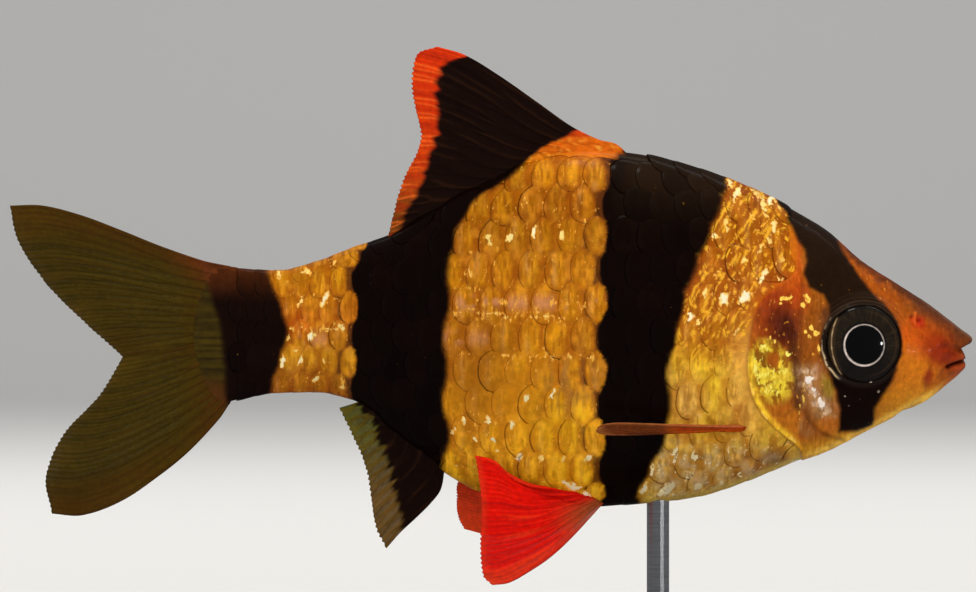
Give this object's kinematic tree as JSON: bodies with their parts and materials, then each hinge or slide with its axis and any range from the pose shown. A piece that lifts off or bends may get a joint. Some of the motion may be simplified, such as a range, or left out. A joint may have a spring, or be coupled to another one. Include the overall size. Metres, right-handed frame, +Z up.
{
  "type": "tiger barb museum model",
  "caption": "Life-size still model of a deep-bodied gold fish with black bands and red fins, held on a short rod over an oval base.",
  "frame": {"origin": "on the table, under the middle of the whole model's box, at the underside of the base", "axes": "+X towards the head, +Y to the fish's left side, +Z up; the fish's long axis lies level, 29.9 mm up"},
  "size_m": [0.0646, 0.032, 0.0489],
  "materials": {
    "gold_flank": "wet-looking gold scales with black bands",
    "orange_head": "smooth orange-red skin with a black bar through the eye",
    "gold_gill_cover": "metallic gold plate",
    "red_jaw": "smooth red lip",
    "black_fin": "black rayed fin with a red rim",
    "red_fin": "bright red rayed fin",
    "clear_fin": "thin olive-brown rayed fin",
    "dark_eye": "polished dark eye with a silver ring",
    "dark_wood": "oiled dark wood",
    "steel_rod": "brushed"
  },
  "bodies": {
    "root": {"head": "orange_head", "lower_jaw": "red_jaw", "gill_cover_left": "gold_gill_cover", "gill_cover_right": "gold_gill_cover", "trunk": "gold_flank", "tail_stem": "gold_flank", "caudal_fin_upper_lobe": "clear_fin", "caudal_fin_lower_lobe": "clear_fin", "dorsal_fin": "black_fin", "anal_fin": "black_fin", "pelvic_fin_left": "red_fin", "pelvic_fin_right": "red_fin", "pectoral_fin_left": "clear_fin", "pectoral_fin_right": "clear_fin", "eye_left": "dark_eye", "eye_right": "dark_eye", "stand_base": "dark_wood", "stand_rod": "steel_rod"}
  },
  "joints": []
}
